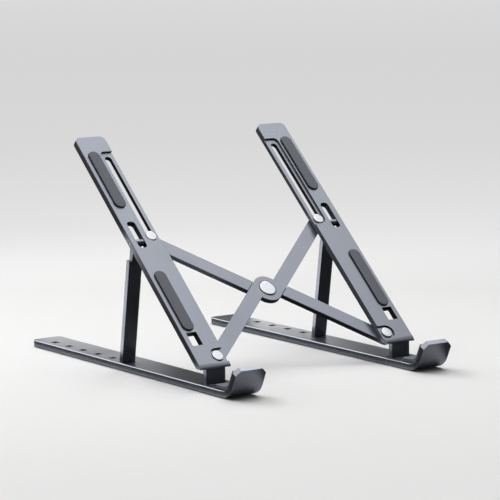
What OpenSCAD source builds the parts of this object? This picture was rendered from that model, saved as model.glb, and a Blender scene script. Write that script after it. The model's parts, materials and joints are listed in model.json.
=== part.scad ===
// Folding laptop stand: two flat base rails with hooked front ends, two tilting arms hinged on
// them, two prop legs that stand in the rails' square holes, and a scissor of two crossed bars.
// Millimetres. +X is the user's right, -Y is the hook end, +Z is up. The origin lies on the desk
// under the middle of the stand. The stand is drawn open, at its steepest setting.

/* [Stand] */
// tilt of the arms above the rails, degrees
arm_tilt = 42.4; // [11:0.1:60]
// distance from a bar's end pivot to the centre rivet
bar_half = 91.5; // [60:0.5:120]
// how far the slot rivets stand above the lower pivots, along the arm
slot_rise = 109.3; // [80:0.1:160]
// gap left between the two arms when the scissor is closed
closed_gap = 0.4; // [0.2:0.1:2]
// free height between a folded arm and its rail, where the bars and legs lie
layer_gap = 4.3; // [3:0.1:8]

/* [Base rails] */
// width of a rail
rail_w = 25; // [18:0.5:40]
// thickness of a rail
rail_t = 4.6; // [3:0.1:8]
// rail length from the hinge axis to its back end
rail_back = 222; // [180:1:260]
// corner radius at the back end
rail_corner_r = 4.5; // [1:0.5:10]
// chamfer along a rail's upper edges
rail_chamfer = 0.5; // [0:0.1:1]
// number of square holes for the leg's foot
hole_count = 6; // [3:1:8]
// distance between neighbouring square holes
hole_pitch = 19.85; // [12:0.05:30]
// distance from the hinge axis to the hole the leg stands in
first_hole_y = 101.65; // [80:0.05:120]
// length of a square hole along the rail
hole_l = 5.4; // [3:0.1:9]
// width of a square hole across the rail
hole_w = 5.2; // [3:0.1:9]
// distance from the outer edge to the row of holes, the leg, the pads and the windows
outer_axis = 7.8; // [6:0.1:12]
// width of the hinge window
hinge_window_w = 16; // [10:0.5:20]
// hinge window, front end measured from the hinge axis
hinge_window_front = 4.8; // [3:0.1:10]
// hinge window, back end measured from the hinge axis
hinge_window_back = 6; // [3:0.1:12]

/* [Hook] */
// distance from the hinge axis to the start of the hook's bend
hook_start = 26; // [20:0.5:40]
// inner radius of the bend
hook_r = 9; // [4:0.5:15]
// angle the rail turns through
hook_angle = 65; // [45:1:110]
// straight length above the bend
hook_straight = 13.5; // [5:0.5:25]
// bevel on the hook's upper corners
hook_corner = 3.8; // [1:0.1:8]
// thickness of the lining in the hook
lining_t = 2.8; // [1:0.1:4]
// inset of the lining from the rail's sides
lining_inset = 2; // [0.5:0.1:5]
// distance from the hinge axis to the back end of the lining
lining_back = 15.5; // [10:0.5:25]
// length of lining on the hook's straight part
lining_up = 9.5; // [3:0.5:20]
// corner radius at the lining's back end
lining_corner_r = 1.5; // [0.5:0.1:4]

/* [Feet] */
// how far a foot stands out below the rail
foot_drop = 0.6; // [0.3:0.1:2]
// depth of the pocket a foot is glued into
foot_pocket = 0.8; // [0.4:0.1:2]
// width of a foot
foot_w = 9; // [5:0.5:15]
// length of a front foot
front_foot_l = 16; // [10:1:20]
// length of a back foot
back_foot_l = 46; // [20:1:70]

/* [Arms] */
// width of an arm
arm_w = 25; // [18:0.5:40]
// thickness of an arm
arm_t = 4.6; // [3:0.1:8]
// corner radius at an arm's upper end
arm_corner_r = 4.5; // [1:0.5:10]
// chamfer along an arm's upper edges
arm_chamfer = 0.3; // [0:0.1:1]
// distance from the hinge axis to where the top turns down into the nose
nose_start = 11.4; // [8:0.1:20]
// length of the nose beyond that line
nose_l = 4.04; // [2:0.1:8]
// depth of the shallow recesses round the rivets
recess_d = 1.4; // [0.5:0.1:3]
// distance from the inner edge to the pivots and the slot
pivot_inset = 5.7; // [4:0.1:10]
// distance from the hinge axis to the lower pivot, along the arm
pivot_u = 17.5; // [12:0.5:30]
// radius of the recess round the lower pivot
pivot_recess_r = 5.8; // [4:0.1:9]
// half width of the long recess round the slot
slot_recess_r = 5.1; // [4:0.1:9]
// width of the long slot
slot_w = 5.4; // [3:0.1:8]
// length of the recess beyond the slot's upper end
recess_tail = 4; // [1:0.5:8]
// width of the leg window
leg_window_w = 6.7; // [5:0.1:12]
// length of the leg window
leg_window_l = 24; // [15:1:40]
// corner radius of the leg window
leg_window_r = 2.6; // [1:0.1:3.3]
// start of the leg window along the arm
leg_window_u = 116.5; // [90:0.5:140]
// width of the finger window
finger_window_w = 8.3; // [5:0.1:12]
// length of the finger window
finger_window_l = 11.4; // [6:0.1:20]
// start of the finger window along the arm
finger_window_u = 27.6; // [20:0.1:60]

/* [Arm pads] */
// width of a pad
pad_w = 9.2; // [6:0.1:14]
// length of a pad
pad_l = 53.7; // [30:0.1:80]
// height of a pad above the arm
pad_h = 1.5; // [0.5:0.1:3]
// depth of the pocket a pad is glued into
pad_pocket = 0.6; // [0.3:0.1:2]
// start of the lower pad along the arm
lower_pad_u = 40.4; // [30:0.1:60]
// start of the upper pad along the arm
upper_pad_u = 153.6; // [120:0.1:170]

/* [Hinge blocks] */
// width of a hinge block
block_w = 15.7; // [8:0.1:20]
// distance from the hinge axis to the block's front face
block_front = 1.35; // [1:0.05:4]
// distance from the hinge axis to the block's back face
block_back = 2.65; // [1:0.05:6]
// radius of the block's knuckle
block_knuckle_r = 2.2; // [1.5:0.1:4]
// length of the tongue let into the arm
tongue_l = 10; // [4:0.5:14]
// thickness of the tongue
tongue_t = 2.2; // [1:0.1:3]
// height of the tongue
tongue_h = 1.6; // [1:0.1:3]
// radius of a base pin
base_pin_r = 1.2; // [0.8:0.1:2]

/* [Legs] */
// width of a leg
leg_w = 10.8; // [6:0.1:16]
// thickness of a leg
leg_t = 3.8; // [2:0.1:6]
// width of the neck that passes through the leg window
neck_w = 6.2; // [4:0.1:10]
// length of the neck, from the pin to the shoulders
neck_l = 13.6; // [8:0.1:25]
// radius of the knuckle round the leg pin
knuckle_r = 2.5; // [1.5:0.1:4]
// radius of a leg pin
leg_pin_r = 1.2; // [0.8:0.1:2]
// length of a leg pin
leg_pin_l = 14.8; // [12:0.1:16]
// leg pin's distance along the arm from the hinge axis
leg_pin_u = 123.1; // [100:0.1:150]
// leg pin's height above the arm's underside
leg_pin_h = 1.8; // [1:0.1:3]
// depth of the foot in its square hole
tenon_d = 2; // [1:0.1:4]
// width of the foot
tenon_w = 4.8; // [3:0.1:8]
// thickness of the foot where it leaves the leg
tenon_t = 3.6; // [2:0.1:5]
// how far the foot's front face slopes in towards its tip
tenon_slope = 2; // [0:0.1:3]

/* [Cross bars] */
// width of a bar's straight strips
bar_w = 10.8; // [6:0.1:16]
// thickness of a bar
bar_t = 3.7; // [2:0.1:6]
// sideways offset of each strip's centre line from the centre rivet
bar_offset = 5.5; // [0:0.1:10]
// radius of the round boss in the middle of a bar
boss_r = 11.1; // [8:0.1:16]
// clearance round the other bar's boss
boss_gap = 0.25; // [0.1:0.05:0.5]
// gap between the two halves of the lap at the centre
lap_gap = 0.2; // [0.1:0.05:0.5]
// gap between one bar's shoulder and the other bar's edge in the open pose
shoulder_gap = 0.3; // [0.1:0.1:1]

/* [Rivets and washers] */
// radius of the centre rivet's head
centre_head_r = 6.2; // [4:0.1:9]
// height of the centre rivet's head
centre_head_h = 0.9; // [0.5:0.1:2]
// radius of the shallow well round the centre rivet's head
centre_well_r = 6.7; // [5:0.1:10]
// depth of that well
centre_well_d = 0.4; // [0.1:0.1:0.8]
// radius of the centre rivet's shank
centre_shank_r = 2.6; // [1.5:0.1:4]
// radius of the lower pivots' heads
pivot_head_r = 4.25; // [3:0.05:6]
// radius of the slot rivets' heads
slot_head_r = 4.1; // [3:0.05:6]
// radius of the pivot and slot rivets' shanks
shank_r = 1.9; // [1:0.1:3]
// radius of the closed ends under the bars
tail_r = 3.2; // [2:0.1:5]
// radius of the centre rivet's closed end
centre_tail_r = 4.4; // [3:0.1:6]
// depth of the counterbores that hold the closed ends
tail_h = 0.9; // [0.4:0.1:1.5]
// how far a closed end lies inside its counterbore
tail_inset = 0.1; // [0:0.05:0.3]
// play between a closed end and the floor of its counterbore
tail_play = 0.05; // [0.02:0.01:0.1]
// gap round a closed end
tail_gap = 0.3; // [0.1:0.1:0.6]
// width of the small edge rounding on every head
head_edge = 0.4; // [0.1:0.1:0.8]
// outer radius of a thin washer between arm and bar
washer_r = 5; // [3:0.1:7]
// thickness of a thin washer between arm and bar
washer_t = 0.3; // [0.2:0.05:0.8]
// play of a washer above and below
washer_play = 0.02; // [0.01:0.01:0.05]
// radial clearance of a turning or sliding fit
running_fit = 0.06; // [0.02:0.01:0.1]
// height a slot rivet's head and collar stand off the surfaces they slide past
slide_lift = 0.08; // [0.03:0.01:0.2]
// clearance round a glued or pressed piece
seat_fit = 0.02; // [0.01:0.01:0.1]

/* [View] */
// sub-part to show

/* [Hidden] */
$fn = 96;
// the hook's straight part and the bend's chamfer are set this far in, so that their faces
// cross those of their neighbours cleanly
ease = 0.01;
// scissor geometry in the arm plane
pivot_gap = sqrt(pow(2 * bar_half, 2) - pow(slot_rise, 2));
open_angle = asin(pivot_gap / (2 * bar_half));
closed_angle = asin((2 * pivot_inset + closed_gap) / (2 * bar_half));
lean_angle = asin(bar_offset / bar_half);
strip_l = sqrt(pow(bar_half, 2) - pow(bar_offset, 2));
inner_x = pivot_gap / 2 - pivot_inset;
outer_x = inner_x + arm_w;
slot_pin_u = pivot_u + slot_rise;
slot_end_u = pivot_u + 2 * bar_half * cos(closed_angle) + 0.2;
centre_u = pivot_u + slot_rise / 2;
closed_centre_u = pivot_u + bar_half * cos(closed_angle);
// heights above the hinge axis, square to the arm
arm_low = rail_t / 2 + layer_gap;
arm_top = arm_low + arm_t;
recess_floor = arm_top - recess_d;
bar_top = arm_low - washer_t;
bar_low = bar_top - bar_t;
lap_high = bar_low + (bar_t + lap_gap) / 2;
lap_low = lap_high - lap_gap;
strip_reach = bar_offset + bar_w / 2;
// heights above the desk and lengths along the rail, from the hinge axis
rail_low = foot_drop;
rail_top = rail_low + rail_t;
axis_z = rail_low + rail_t / 2;
hook_out_r = hook_r + rail_t;
hook_front = hook_start + hook_out_r * sin(hook_angle) + hook_straight * cos(hook_angle);
mid_y = (rail_back - hook_front) / 2;
arm_end = rail_back;
// the nose's flat underside is level with the desk when the stand is open
nose_low_u = nose_start - nose_l;
nose_low_n = arm_low + nose_l * tan(arm_tilt);
nose_z = nose_start * sin(arm_tilt) + arm_low * cos(arm_tilt);
// the leg's offset keeps it in the layer under the arm when it is swung in
leg_pin_n = arm_low + leg_pin_h;
leg_offset = leg_pin_n - (arm_low - 0.15) + leg_t / 2;
leg_pin_y = leg_pin_u * cos(arm_tilt) - leg_pin_n * sin(arm_tilt);
leg_pin_z = leg_pin_u * sin(arm_tilt) + leg_pin_n * cos(arm_tilt);
foot_y = first_hole_y + hole_l / 2 - 0.1 - tenon_t / 2;
foot_reach = norm([foot_y - leg_pin_y, leg_pin_z - rail_t / 2]);
leg_lean = atan((foot_y - leg_pin_y) / (leg_pin_z - rail_t / 2)) - asin(leg_offset / foot_reach);
leg_l = sqrt(pow(foot_reach, 2) - pow(leg_offset, 2));

metal = [0.68, 0.70, 0.74];
dark_metal = [0.30, 0.31, 0.34];
soft = [0.42, 0.43, 0.46];
bright = [0.90, 0.90, 0.92];
pale = [0.85, 0.85, 0.82];

// ---- frames --------------------------------------------------------------------------------

// left unit: X runs from the outer edge inwards, Y and Z are measured from the hinge axis
module left_unit() {
    translate([-outer_x, -mid_y, axis_z])
        children();
}

// right unit: the mirror image of the left one
module right_unit() {
    mirror([1, 0, 0])
        left_unit()
            children();
}

// arm plane of a unit: Y runs up the arm, Z square to it
module on_arm() {
    rotate([arm_tilt, 0, 0])
        children();
}

// arm plane of the whole stand, with X measured from the middle
module scissor_plane() {
    translate([0, -mid_y, axis_z])
        rotate([arm_tilt, 0, 0])
            children();
}

// frame of a bar turned about the centre rivet, with Y along the line of its pivots
module bar_frame(turn) {
    translate([0, centre_u, 0])
        rotate([0, 0, turn])
            children();
}

// ---- plain shapes --------------------------------------------------------------------------

// a profile drawn in Y and Z, extruded along X
module along_x(width) {
    rotate([90, 0, 90])
        linear_extrude(width)
            children();
}

// a slot-shaped outline, long side along Y, centred
module stadium(width, length) {
    square([width, length - width], center = true);
    for (s = [-1, 1])
        translate([0, s * (length - width) / 2])
            circle(d = width);
}

// a rectangle with rounded corners, centred
module rounded_box(width, length, r) {
    square([width - 2 * r, length], center = true);
    square([width, length - 2 * r], center = true);
    for (sx = [-1, 1], sy = [-1, 1])
        translate([sx * (width / 2 - r), sy * (length / 2 - r)])
            circle(r);
}

// a plate outline with square corners at y0 and round ones at y1
module plate_outline(width, y0, y1, r) {
    translate([0, y0])
        square([width, y1 - y0 - r]);
    translate([r, y0])
        square([width - 2 * r, y1 - y0]);
    for (x = [r, width - r])
        translate([x, y1 - r])
            circle(r);
}

// cuts a chamfer along both upper edges of a plate
module edge_chamfers(width, y0, y1, top, size) {
    for (x = [0, width])
        translate([x, (y0 + y1) / 2, top])
            rotate([0, 45, 0])
                cube([size * sqrt(2), y1 - y0, size * sqrt(2)], center = true);
}

// a rivet head with a bevelled upper edge, standing on z
module rivet_head(r, h, z) {
    translate([0, 0, z])
        cylinder(r = r, h = h - head_edge);
    translate([0, 0, z + h - head_edge])
        cylinder(r1 = r, r2 = r - head_edge, h = head_edge);
}

// ---- base rail -----------------------------------------------------------------------------

// everything on the inner side of the bent sheet's face at radius r from the bend's centre
module inside_bend(r, flat, up) {
    circle(r);
    translate([0, -r])
        square([flat, r]);
    rotate(-hook_angle)
        translate([-up, ease - r])
            square([up, r - ease]);
}

// side profile of a bent sheet between radius r1 and r2, flat behind the bend and straight above it
module bent_sheet(r1, r2, flat, up) {
    far = 3 * r2;
    translate([-hook_start, rail_t / 2 + hook_r])
        difference() {
            inside_bend(r2, flat, up);
            inside_bend(r1, flat, up);
            translate([0, -r1])
                square([flat + 1, far]);
            rotate(-hook_angle)
                translate([-up - 1, ease - r1])
                    square([up + 1, far]);
        }
}

// the hook's upper corners, cut off at 45 degrees
module hook_corner_cuts() {
    translate([0, -hook_start, rail_t / 2 + hook_r])
        rotate([-hook_angle, 0, 0])
            for (x = [0, rail_w])
                translate([x, -hook_straight, -(hook_r + rail_t / 2)])
                    rotate([0, 0, 45])
                        cube([hook_corner * sqrt(2), hook_corner * sqrt(2), 3 * rail_t], center = true);
}

// the chamfer carried round the bend, a hair smaller so that no faces coincide, and up the hook
module hook_chamfers() {
    translate([0, -hook_start, rail_t / 2 + hook_r]) {
        for (x = [0, rail_w])
            translate([x, 0, 0])
                rotate([0, 90, 0])
                    rotate([0, 0, -hook_angle])
                        rotate_extrude(angle = hook_angle)
                            translate([hook_r, 0])
                                circle(rail_chamfer - 2 * ease, $fn = 4);
        rotate([-hook_angle, 0, 0])
            edge_chamfers(rail_w, -hook_straight - 1, 0, -hook_r, rail_chamfer);
    }
}

module base_rail() {
    color(metal)
        difference() {
            intersection() {
                along_x(rail_w)
                    bent_sheet(hook_r, hook_out_r, hook_start + rail_back, hook_straight);
                translate([0, 0, -rail_t])
                    linear_extrude(4 * hook_out_r)
                        plate_outline(rail_w, -hook_front - 1, rail_back, rail_corner_r);
            }
            hook_corner_cuts();
            edge_chamfers(rail_w, -hook_start, rail_back, rail_t / 2, rail_chamfer);
            hook_chamfers();
            // square holes for the leg's foot
            for (i = [0 : hole_count - 1])
                translate([outer_axis, first_hole_y + i * hole_pitch, 0])
                    cube([hole_w, hole_l, 2 * rail_t], center = true);
            // window the hinge block turns in
            translate([(rail_w - hinge_window_w) / 2, -hinge_window_front, -rail_t])
                cube([hinge_window_w, hinge_window_front + hinge_window_back, 2 * rail_t]);
            // hole for the base pin
            rotate([0, 90, 0])
                translate([0, 0, -1])
                    cylinder(r = base_pin_r + seat_fit, h = rail_w + 2);
            // pockets for the feet
            translate([0, 0, -rail_t / 2 - 1])
                linear_extrude(1 + foot_pocket) {
                    front_foot_place()
                        stadium(foot_w + 2 * seat_fit, front_foot_l + 2 * seat_fit);
                    back_foot_place()
                        stadium(foot_w + 2 * seat_fit, back_foot_l + 2 * seat_fit);
                }
        }
}

module front_foot_place() {
    translate([rail_w / 2, -hinge_window_front - 2 - front_foot_l / 2])
        children();
}

module back_foot_place() {
    translate([rail_w - outer_axis, rail_back - 10 - back_foot_l / 2])
        children();
}

module foot_body(length) {
    color(soft)
        translate([0, 0, -rail_t / 2 - foot_drop])
            linear_extrude(foot_drop + foot_pocket - seat_fit)
                stadium(foot_w, length);
}

module hook_lining() {
    width = rail_w - 2 * lining_inset;
    color(soft)
        translate([lining_inset, 0, 0])
            intersection() {
                along_x(width)
                    bent_sheet(hook_r - lining_t, hook_r - seat_fit, hook_start - lining_back, lining_up);
                linear_extrude(4 * hook_out_r)
                    plate_outline(width, -hook_front, -lining_back, lining_corner_r);
            }
}

module base_pin() {
    color(bright)
        rotate([0, 90, 0])
            translate([0, 0, 0.15])
                cylinder(r = base_pin_r, h = rail_w - 0.3);
}

// ---- arm -----------------------------------------------------------------------------------

module arm_profile() {
    polygon([[nose_start, arm_low], [arm_end, arm_low], [arm_end, arm_top], [nose_start, arm_top],
        [nose_start - 2.4, arm_top - 0.25], [nose_start - 3.5, arm_top - 0.65],
        [nose_low_u, nose_low_n]]);
}

// the outlines below are drawn in the arm's own frame: X from the outer edge, Y up the arm
module slot_outline() {
    translate([arm_w - pivot_inset, (slot_pin_u + slot_end_u) / 2])
        stadium(slot_w, slot_end_u - slot_pin_u + slot_w);
}

module slot_recess_outline() {
    x0 = arm_w - pivot_inset - slot_recess_r;
    top = slot_end_u + slot_w / 2 + recess_tail;
    corner = 3.5;
    translate([arm_w - pivot_inset, slot_pin_u])
        circle(slot_recess_r);
    translate([arm_w - pivot_inset, slot_pin_u - slot_recess_r])
        square([pivot_inset + 1, 2 * slot_recess_r]);
    translate([x0, slot_pin_u])
        square([arm_w + 1 - x0, top - corner - slot_pin_u]);
    translate([x0 + corner, top - corner])
        circle(corner);
    translate([x0 + corner, top - corner - 1])
        square([arm_w + 1 - x0 - corner, corner + 1]);
}

module pivot_recess_outline() {
    translate([arm_w - pivot_inset, pivot_u])
        circle(pivot_recess_r);
    translate([arm_w - pivot_inset, pivot_u - pivot_recess_r])
        square([pivot_inset + 1, 2 * pivot_recess_r]);
}

module arm_cuts() {
    // the long slot and the recess round it
    translate([0, 0, arm_low - 1])
        linear_extrude(arm_t + 2)
            slot_outline();
    translate([0, 0, recess_floor])
        linear_extrude(recess_d + 1) {
            slot_recess_outline();
            pivot_recess_outline();
        }
    // leg window and finger window
    translate([outer_axis, leg_window_u + leg_window_l / 2, arm_low - 1])
        linear_extrude(arm_t + 2)
            rounded_box(leg_window_w, leg_window_l, leg_window_r);
    translate([outer_axis, finger_window_u + finger_window_l / 2, arm_low - 1])
        linear_extrude(arm_t + 2)
            rounded_box(finger_window_w, finger_window_l, 0.6);
    // pad pockets
    translate([0, 0, arm_top - pad_pocket])
        linear_extrude(pad_pocket + 1)
            for (u = [lower_pad_u, upper_pad_u])
                translate([outer_axis, u + pad_l / 2])
                    stadium(pad_w + 2 * seat_fit, pad_l + 2 * seat_fit);
    // holes for the lower pivot and the leg pin
    translate([arm_w - pivot_inset, pivot_u, 0])
        cylinder(r = shank_r + seat_fit, h = arm_top + 1);
    translate([-1, leg_pin_u, leg_pin_n])
        rotate([0, 90, 0])
            cylinder(r = leg_pin_r + seat_fit, h = leg_pin_l + 1.4);
    // hollow under the inner edge that clears the centre rivet when the arms close up
    translate([arm_w + closed_gap / 2, closed_centre_u, arm_low - 1])
        cylinder(r = centre_head_r + 0.6, h = 1 + centre_head_h);
}

module arm() {
    color(metal)
        difference() {
            on_arm()
                difference() {
                    intersection() {
                        along_x(arm_w)
                            arm_profile();
                        linear_extrude(arm_top + 1)
                            plate_outline(arm_w, 0, arm_end, arm_corner_r);
                    }
                    edge_chamfers(arm_w, nose_start, arm_end, arm_top, arm_chamfer);
                    arm_cuts();
                }
            tongue(seat_fit);
        }
}

module pad(u) {
    color(soft)
        on_arm()
            translate([outer_axis, u + pad_l / 2, 0]) {
                translate([0, 0, arm_top - pad_pocket + seat_fit])
                    linear_extrude(pad_pocket + pad_h - 0.3 - seat_fit)
                        stadium(pad_w, pad_l);
                translate([0, 0, arm_top + pad_h - 0.3])
                    linear_extrude(0.3)
                        stadium(pad_w - 0.5, pad_l - 0.5);
            }
}

// ---- hinge block ---------------------------------------------------------------------------

module tongue(fit) {
    translate([rail_w / 2 - tongue_l / 2 - fit, (block_back - block_front) / 2 - tongue_t / 2 - fit,
        nose_z - 0.5])
        cube([tongue_l + 2 * fit, tongue_t + 2 * fit, tongue_h + 0.5 + fit]);
}

module hinge_block() {
    color(dark_metal)
        difference() {
            union() {
                translate([(rail_w - block_w) / 2, -block_front, 0])
                    cube([block_w, block_front + block_back, nose_z - seat_fit]);
                translate([(rail_w - block_w) / 2, 0, 0])
                    rotate([0, 90, 0])
                        cylinder(r = block_knuckle_r, h = block_w);
                tongue(0);
            }
            rotate([0, 90, 0])
                cylinder(r = base_pin_r + running_fit, h = rail_w);
        }
}

// ---- leg -----------------------------------------------------------------------------------

// frame of the leg: Z runs up the leg, Y away from its front, the origin is the leg pin
module on_leg() {
    translate([outer_axis, leg_pin_y, leg_pin_z])
        rotate([leg_lean, 0, 0])
            children();
}

module leg_tenon() {
    y1 = foot_y + tenon_t / 2;
    y0 = foot_y - tenon_t / 2;
    z0 = rail_t / 2;
    translate([outer_axis - tenon_w / 2, 0, 0])
        along_x(tenon_w)
            polygon([[y0 + 0.5, z0 + 1], [y0, z0 + 0.1], [y0, z0], [y0 + tenon_slope, z0 - tenon_d],
                [y1 - 0.2, z0 - tenon_d], [y1, z0 - 0.3], [y1, z0 + 0.1], [y1 - 0.5, z0 + 1]]);
}

module leg() {
    y0 = leg_offset - leg_t / 2;
    y1 = leg_offset + leg_t / 2;
    color(metal)
        union() {
            difference() {
                on_leg()
                    difference() {
                        union() {
                            // neck: knuckle, web and the narrow top of the leg
                            translate([-neck_w / 2, 0, 0])
                                along_x(neck_w)
                                    polygon([[-knuckle_r, 0], [y0, -4.2], [y0, -neck_l - 1],
                                        [y1, -neck_l - 1], [y1, -0.5], [knuckle_r, knuckle_r * 0.4],
                                        [0, 0]]);
                            translate([-neck_w / 2, 0, 0])
                                rotate([0, 90, 0])
                                    cylinder(r = knuckle_r, h = neck_w);
                            // the leg below the shoulders
                            translate([-leg_w / 2, y0, -leg_l - 2])
                                cube([leg_w, leg_t, leg_l + 2 - neck_l]);
                        }
                        translate([-neck_w, 0, 0])
                            rotate([0, 90, 0])
                                cylinder(r = leg_pin_r + running_fit, h = 2 * neck_w);
                    }
                // the leg's end is level where it meets the rail
                translate([-5, foot_y - 20, rail_t / 2 + 0.02 - 20])
                    cube([40, 40, 20]);
            }
            leg_tenon();
        }
}

module leg_pin() {
    color(bright)
        on_arm()
            translate([0.2, leg_pin_u, leg_pin_n])
                rotate([0, 90, 0])
                    cylinder(r = leg_pin_r, h = leg_pin_l);
}

// ---- cross bars ----------------------------------------------------------------------------

// one straight strip, from the centre rivet to an end pivot at distance bar_half up the Y axis
module strip_outline() {
    rotate([0, 0, lean_angle])
        translate([bar_offset, 0]) {
            translate([-bar_w / 2, 0])
                square([bar_w, strip_l]);
            translate([0, strip_l])
                circle(d = bar_w);
        }
}

module bar_outline() {
    circle(boss_r);
    strip_outline();
    rotate([0, 0, 180])
        strip_outline();
}

// region the other bar covers where the two lap, in this bar's frame
module lap_outline() {
    circle(boss_r + boss_gap);
    for (side = [0, 180])
        rotate([0, 0, side + 2 * open_angle - lean_angle])
            translate([-strip_reach - shoulder_gap, 0])
                square([strip_reach + shoulder_gap, 3 * boss_r]);
}

// a cross bar: upper is true for the bar that keeps its upper half at the lap
module bar_body(upper) {
    color(metal)
        difference() {
            translate([0, 0, bar_low])
                linear_extrude(bar_t)
                    bar_outline();
            translate([0, 0, upper ? bar_low - 1 : lap_low])
                linear_extrude(upper ? lap_high - bar_low + 1 : bar_top - lap_low + 1)
                    lap_outline();
            // holes for the rivets, with a counterbore for each closed end
            translate([0, 0, bar_low - 1])
                cylinder(r = centre_shank_r + running_fit, h = bar_t + 2);
            if (upper)
                translate([0, 0, bar_top - centre_well_d])
                    cylinder(r = centre_well_r, h = 1);
            else
                translate([0, 0, bar_low - 1])
                    cylinder(r = centre_tail_r + tail_gap, h = 1 + tail_h);
            for (y = [-bar_half, bar_half])
                translate([0, y, bar_low - 1]) {
                    cylinder(r = shank_r + running_fit, h = bar_t + 2);
                    cylinder(r = tail_r + tail_gap, h = 1 + tail_h);
                }
        }
}

// ---- rivets and washers --------------------------------------------------------------------

module centre_rivet_body() {
    color(bright)
        translate([0, centre_u, 0])
            union() {
                rivet_head(centre_head_r, centre_head_h + centre_well_d, bar_top - centre_well_d);
                translate([0, 0, bar_low + tail_inset])
                    cylinder(r = centre_shank_r, h = bar_t - tail_inset);
                translate([0, 0, bar_low + tail_inset])
                    cylinder(r = centre_tail_r, h = tail_h - tail_inset - tail_play);
            }
}

// fixed in the arm; the bar turns on it
module pivot_rivet_body() {
    color(bright)
        on_arm()
            translate([arm_w - pivot_inset, pivot_u, 0])
                union() {
                    rivet_head(pivot_head_r, recess_d, recess_floor);
                    translate([0, 0, bar_low + tail_inset])
                        cylinder(r = shank_r, h = recess_floor - bar_low);
                    translate([0, 0, bar_low + tail_inset])
                        cylinder(r = tail_r, h = tail_h - tail_inset - tail_play);
                }
}

// fixed in the bar; its collar slides in the arm's slot
module slot_rivet_body() {
    color(bright)
        on_arm()
            translate([arm_w - pivot_inset, slot_pin_u, 0])
                union() {
                    rivet_head(slot_head_r, recess_d - slide_lift, recess_floor + slide_lift);
                    translate([0, 0, arm_low + slide_lift])
                        cylinder(r = slot_w / 2 - running_fit, h = recess_floor - arm_low);
                    translate([0, 0, bar_low + tail_inset])
                        cylinder(r = shank_r, h = recess_floor - bar_low);
                    translate([0, 0, bar_low + tail_inset])
                        cylinder(r = tail_r, h = tail_h - tail_inset - tail_play);
                }
}

// a thin washer in a gap of height h that starts at z
module ring(r_out, r_in, z, h) {
    color(pale)
        translate([0, 0, z + washer_play])
            difference() {
                cylinder(r = r_out, h = h - 2 * washer_play);
                translate([0, 0, -1])
                    cylinder(r = r_in, h = h + 2);
            }
}

module arm_washer(u) {
    on_arm()
        translate([arm_w - pivot_inset, u, 0])
            ring(washer_r, shank_r + running_fit, bar_top, washer_t);
}

// ---- nodes ---------------------------------------------------------------------------------

module base_rail_left() { left_unit() base_rail(); }
module base_rail_right() { right_unit() base_rail(); }
module hook_lining_left() { left_unit() hook_lining(); }
module hook_lining_right() { right_unit() hook_lining(); }
module front_foot_left() { left_unit() front_foot_place() foot_body(front_foot_l); }
module front_foot_right() { right_unit() front_foot_place() foot_body(front_foot_l); }
module back_foot_left() { left_unit() back_foot_place() foot_body(back_foot_l); }
module back_foot_right() { right_unit() back_foot_place() foot_body(back_foot_l); }
module base_pin_left() { left_unit() base_pin(); }
module base_pin_right() { right_unit() base_pin(); }
module hinge_block_left() { left_unit() hinge_block(); }
module hinge_block_right() { right_unit() hinge_block(); }
module arm_left() { left_unit() arm(); }
module arm_right() { right_unit() arm(); }
module upper_pad_left() { left_unit() pad(upper_pad_u); }
module upper_pad_right() { right_unit() pad(upper_pad_u); }
module lower_pad_left() { left_unit() pad(lower_pad_u); }
module lower_pad_right() { right_unit() pad(lower_pad_u); }
module leg_left() { left_unit() leg(); }
module leg_right() { right_unit() leg(); }
module leg_pin_left() { left_unit() leg_pin(); }
module leg_pin_right() { right_unit() leg_pin(); }
module cross_bar_upper() { scissor_plane() bar_frame(-open_angle) bar_body(true); }
module cross_bar_lower() { scissor_plane() bar_frame(open_angle) mirror([1, 0, 0]) bar_body(false); }
module centre_rivet() { scissor_plane() centre_rivet_body(); }
module centre_washer() {
    scissor_plane()
        translate([0, centre_u, 0])
            ring(boss_r - 2, centre_shank_r + running_fit, lap_low, lap_gap);
}
module pivot_rivet_left() { left_unit() pivot_rivet_body(); }
module pivot_rivet_right() { right_unit() pivot_rivet_body(); }
module pivot_washer_left() { left_unit() arm_washer(pivot_u); }
module pivot_washer_right() { right_unit() arm_washer(pivot_u); }
module slot_rivet_left() { left_unit() slot_rivet_body(); }
module slot_rivet_right() { right_unit() slot_rivet_body(); }
module slot_washer_left() { left_unit() arm_washer(slot_pin_u); }
module slot_washer_right() { right_unit() arm_washer(slot_pin_u); }

base_rail_left();
base_rail_right();
hook_lining_left();
hook_lining_right();
front_foot_left();
front_foot_right();
back_foot_left();
back_foot_right();
base_pin_left();
base_pin_right();
hinge_block_left();
hinge_block_right();
arm_left();
arm_right();
upper_pad_left();
upper_pad_right();
lower_pad_left();
lower_pad_right();
leg_left();
leg_right();
leg_pin_left();
leg_pin_right();
cross_bar_upper();
cross_bar_lower();
centre_rivet();
centre_washer();
pivot_rivet_left();
pivot_rivet_right();
pivot_washer_left();
pivot_washer_right();
slot_rivet_left();
slot_rivet_right();
slot_washer_left();
slot_washer_right();
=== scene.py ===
# %% [markdown]
# A folding laptop stand in dark anodised aluminium. Two rails lie on the desk, two arms hinge
# on them, and a scissor of crossed bars holds the sides apart. Every size and place comes
# packed from the CAD model. This script only gives the pieces their finish, makes the moulded
# pads and the turned rivets afresh as smooth surfaces, and lights the stand like a product.

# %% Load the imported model
import json
import math

import bmesh
import bpy
import numpy as np
from mathutils import Matrix, Vector

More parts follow.
